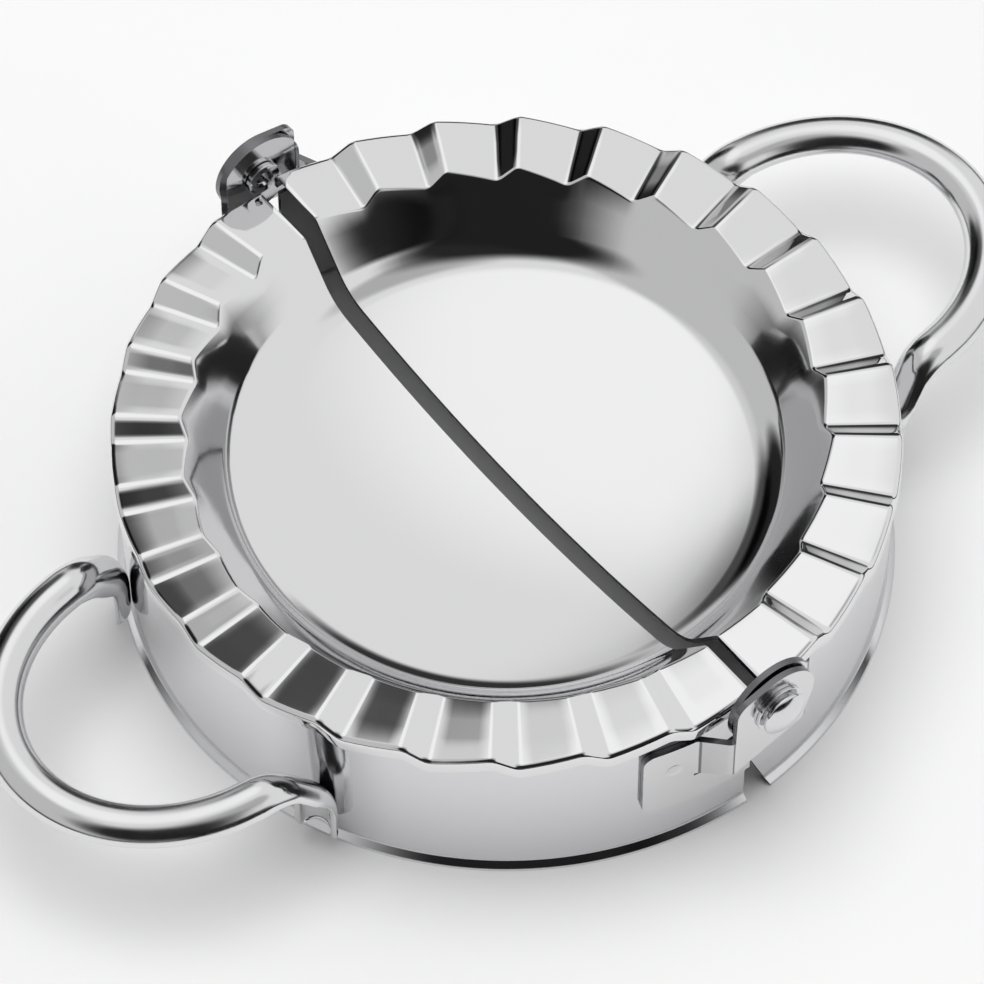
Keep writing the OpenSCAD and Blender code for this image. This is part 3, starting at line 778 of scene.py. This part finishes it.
def studio_tent():
    """A white tent with black and grey cards, which polished steel needs to show its shape."""
    world = bpy.data.worlds.new("studio_tent")
    world.use_nodes = True
    tree = world.node_tree
    tree.nodes.clear()
    ray = add(tree, "TexCoord").outputs["Generated"]

    def patch(az, el, inner, outer, level, around=1.0):
        near = add(tree, "VectorMath", {0: ray, 1: toward(az, el)}, operation="DOT_PRODUCT")
        spot = add(tree, "MapRange", {"Value": near.outputs["Value"]},
                   interpolation_type="SMOOTHSTEP", From_Min=cos(radians(outer)),
                   From_Max=cos(radians(inner)), To_Min=around, To_Max=level)
        return spot.outputs[0]
    height = add(tree, "SeparateXYZ", {0: ray}).outputs["Z"]
    foot = add(tree, "MapRange", {"Value": height}, interpolation_type="SMOOTHSTEP", From_Min=0.0,
               From_Max=sin(radians(SKIRTING)), To_Min=SKIRTING_LEVEL, To_Max=1.0).outputs[0]
    level = patch(*BRIGHT_SIDE, DIM_SIDE)
    for card in [patch(*place) for place in CARDS] + [foot]:
        level = add(tree, "Math", {0: level, 1: card}, operation="MULTIPLY").outputs[0]
    # The camera itself sees plain white past the table
    seen = add(tree, "LightPath").outputs["Is Camera Ray"]
    shown = add(tree, "Math", {0: level, 1: seen}, operation="MAXIMUM").outputs[0]
    back = add(tree, "Background", {"Color": (1, 1, 1, 1), "Strength": shown})
    add(tree, "OutputWorld", {"Surface": back.outputs[0]})
    return world


class PRESS_OT_dies(bpy.types.Operator):
    """Presses the two fluted half bowls and turns down their lips"""
    bl_idname = "press.dies"
    bl_label = "Dies"

    def execute(self, context):
        d, s = context.scene.press_die, context.scene.press_steel
        # Mirror polished after pressing: sharp, deep reflections that bend a little over long waves
        steel = polished_steel("mirror_polished_pressed_steel", s.die, rough=0.07, wave_w=14,
                               wave_h=0.0016, line_w=0.6, line_h=0.00012)
        cut_edge = sheared_steel("sheared_die_edge", s.sheared)
        for side in ("left", "right"):
            finish_piece(build_die(d, side), "die_" + side, [steel, cut_edge], d.sheet)
        return {"FINISHED"}


class PRESS_OT_skirts(bpy.types.Operator):
    """Bends the two skirts with their cutting feet, slanted ends and notches"""
    bl_idname = "press.skirts"
    bl_label = "Skirts"

    def execute(self, context):
        k, s = context.scene.press_skirt, context.scene.press_steel
        # Polished rolled strip: bright, with faint lines along the strip that soften reflections
        steel = polished_steel("polished_rolled_steel_strip", s.skirt, rough=0.09, wave_w=16,
                               wave_h=0.003, line_w=0.5, line_h=0.0003, stretch=(1, 1, 3))
        cut_edge = sheared_steel("sheared_skirt_edge", s.sheared)
        for side in ("left", "right"):
            finish_piece(build_skirt(k, side), "skirt_" + side, [steel, cut_edge],
                         context.scene.press_die.sheet)
        return {"FINISHED"}


class PRESS_OT_hinge_plates(bpy.types.Operator):
    """Blanks and bends the four hinge plates"""
    bl_idname = "press.hinge_plates"
    bl_label = "Hinge plates"

    def execute(self, context):
        h, k, r = context.scene.press_hinge, context.scene.press_skirt, context.scene.press_rivet
        s = context.scene.press_steel

        def plate_steel(name, bend):
            # Thicker plate as rolled: a duller, uneven shine with welding marks, and painted shade
            # on the strap's bends and step
            return polished_steel(name, s.hinge, rough=0.13, wave_w=7, wave_h=0.004, line_w=0.4,
                                  line_h=0.0006, bends=(bend, bend + h.bend_run))
        outer_steel = plate_steel("rolled_steel_outer_plate", h.outer_bend)
        inner_steel = plate_steel("rolled_steel_inner_plate", h.inner_bend)
        cut_edge = sheared_steel("sheared_plate_edge", s.sheared)
        for name in ("far", "near"):
            bm = build_plate(h, k, r, outer_outline(h, k), h.outer_seat, h.outer_y, h.outer_bend,
                             h.outer_strap, slit_rise=SLIT_RISE)
            if name == "near":
                to_left(bm)
            finish_piece(bm, "hinge_outer_" + name, [outer_steel, cut_edge], h.plate, 0)
            bm = build_plate(h, k, r, inner_outline(h, k), h.inner_seat, h.inner_y, h.inner_bend,
                             h.inner_strap, slit_rise=0)
            to_near(bm)
            if name == "far":
                to_left(bm)
            finish_piece(bm, "hinge_inner_" + name, [inner_steel, cut_edge], h.plate, 0)
        return {"FINISHED"}


class PRESS_OT_rivets(bpy.types.Operator):
    """Turns the two rivets and their washers"""
    bl_idname = "press.rivets"
    bl_label = "Rivets and washers"

    def execute(self, context):
        h, r = context.scene.press_hinge, context.scene.press_rivet
        # Headed and turned: small, crowded reflections that break up over fine tool marks
        steel = polished_steel("headed_rivet_steel", context.scene.press_steel.rivet, rough=0.12,
                               wave_w=3, wave_h=0.003, line_w=0.3, line_h=0.0006)
        for name in ("far", "near"):
            for kind, section in (("rivet_", rivet_section), ("washer_", washer_section)):
                bm = spun(section(r, h), h)
                if name == "near":
                    to_left(bm)
                finish_piece(bm, kind + name, [steel], edge=TURNED_EDGE)
        return {"FINISHED"}


class PRESS_OT_handles(bpy.types.Operator):
    """Bends the two half round handles"""
    bl_idname = "press.handles"
    bl_label = "Handles"

    def execute(self, context):
        n, s = context.scene.press_handle, context.scene.press_steel
        # Half round strip, polished by hand after bending: long soft highlights along the crown
        steel = polished_steel("polished_half_round_strip", s.handle, rough=0.15, wave_w=9,
                               wave_h=0.004, line_w=0.5, line_h=0.0004)
        for side in ("left", "right"):
            bm = build_handle(n, context.scene.press_skirt.radius, side)
            finish_piece(bm, "handle_" + side, [steel])
        return {"FINISHED"}


# The photograph's camera: its side, height in degrees and distance, then in pixels the frame's
# width, the focal length and the point that the camera looks at
CAMERA_AZ, CAMERA_EL, CAMERA_FAR = radians(-38.45), radians(55.61), 738.6 * MM
FRAME_W, FOCAL, AIM_X, AIM_Y = 984, 6000, 506.3, 538.64
SENSOR_MM = 36
# The table's width, and the softbox's width and place, in metres
TABLE_W, SOFTBOX_W, SOFTBOX_PLACE = 0.5, 1.6, (-0.15, 0.1, 1.5)


class PRESS_OT_stage(bpy.types.Operator):
    """Lays the white table, lights it and stands the camera where the photograph was taken"""
    bl_idname = "press.stage"
    bl_label = "Stage"

    def execute(self, context):
        scene = context.scene
        scene.view_settings.view_transform = "Standard"
        bpy.ops.mesh.primitive_plane_add(size=TABLE_W)
        floor = context.active_object
        floor.name = "table"
        # Matt white paper: it takes the soft shadow and nothing else
        paper, tree = new_material("matt_white_paper")
        face = add(tree, "BsdfDiffuse", {"Color": scene.press_studio.floor})
        add(tree, "OutputMaterial", {"Surface": face.outputs[0]})
        floor.data.materials.append(paper)

        scene.world = studio_tent()
        light = bpy.data.lights.new("softbox", "AREA")
        light.shape, light.size, light.energy = "DISK", SOFTBOX_W, scene.press_studio.overhead
        softbox = bpy.data.objects.new("softbox", light)
        softbox.location = SOFTBOX_PLACE
        # The tent alone is mirrored
        softbox.visible_glossy = False
        context.collection.objects.link(softbox)

        az, el = CAMERA_AZ, CAMERA_EL
        look = Vector((-sin(az) * cos(el), cos(az) * cos(el), -sin(el)))
        lens = bpy.data.cameras.new("camera")
        camera = bpy.data.objects.new("camera", lens)
        context.collection.objects.link(camera)
        camera.location = -look * CAMERA_FAR
        camera.rotation_mode = "QUATERNION"
        camera.rotation_quaternion = look.to_track_quat("-Z", "Y")
        lens.sensor_width = SENSOR_MM
        lens.lens = SENSOR_MM * FOCAL / FRAME_W
        lens.shift_x = (FRAME_W / 2 - AIM_X) / FRAME_W
        lens.shift_y = (AIM_Y - FRAME_W / 2) / FRAME_W
        lens.clip_start, lens.clip_end = 0.05, 20
        scene.camera = camera
        return {"FINISHED"}


STEPS = (PRESS_OT_dies, PRESS_OT_skirts, PRESS_OT_hinge_plates, PRESS_OT_rivets, PRESS_OT_handles,
         PRESS_OT_stage)


class PRESS_PT_builder(bpy.types.Panel):
    """Lists the press's pieces and the stage"""
    bl_idname = "PRESS_PT_builder"
    bl_label = "Empanada press"
    bl_space_type = "VIEW_3D"
    bl_region_type = "UI"
    bl_category = "Press"

    def draw(self, context):
        for step in STEPS:
            self.layout.operator(step.bl_idname)
        for page in PAGES:
            group = getattr(context.scene, page)
            box = self.layout.box()
            for prop in group.bl_rna.properties:
                if not prop.is_readonly and prop.identifier != "name":
                    box.prop(group, prop.identifier)


def register():
    for page, kind in PAGES.items():
        bpy.utils.register_class(kind)
        setattr(bpy.types.Scene, page, PointerProperty(type=kind))
    for step in STEPS + (PRESS_PT_builder,):
        bpy.utils.register_class(step)


def unregister():
    for step in reversed(STEPS + (PRESS_PT_builder,)):
        bpy.utils.unregister_class(step)
    for page, kind in PAGES.items():
        delattr(bpy.types.Scene, page)
        bpy.utils.unregister_class(kind)


def main():
    register()
    for step in STEPS:
        group, name = step.bl_idname.split(".")
        getattr(getattr(bpy.ops, group), name)()


if __name__ == "__main__":
    main()
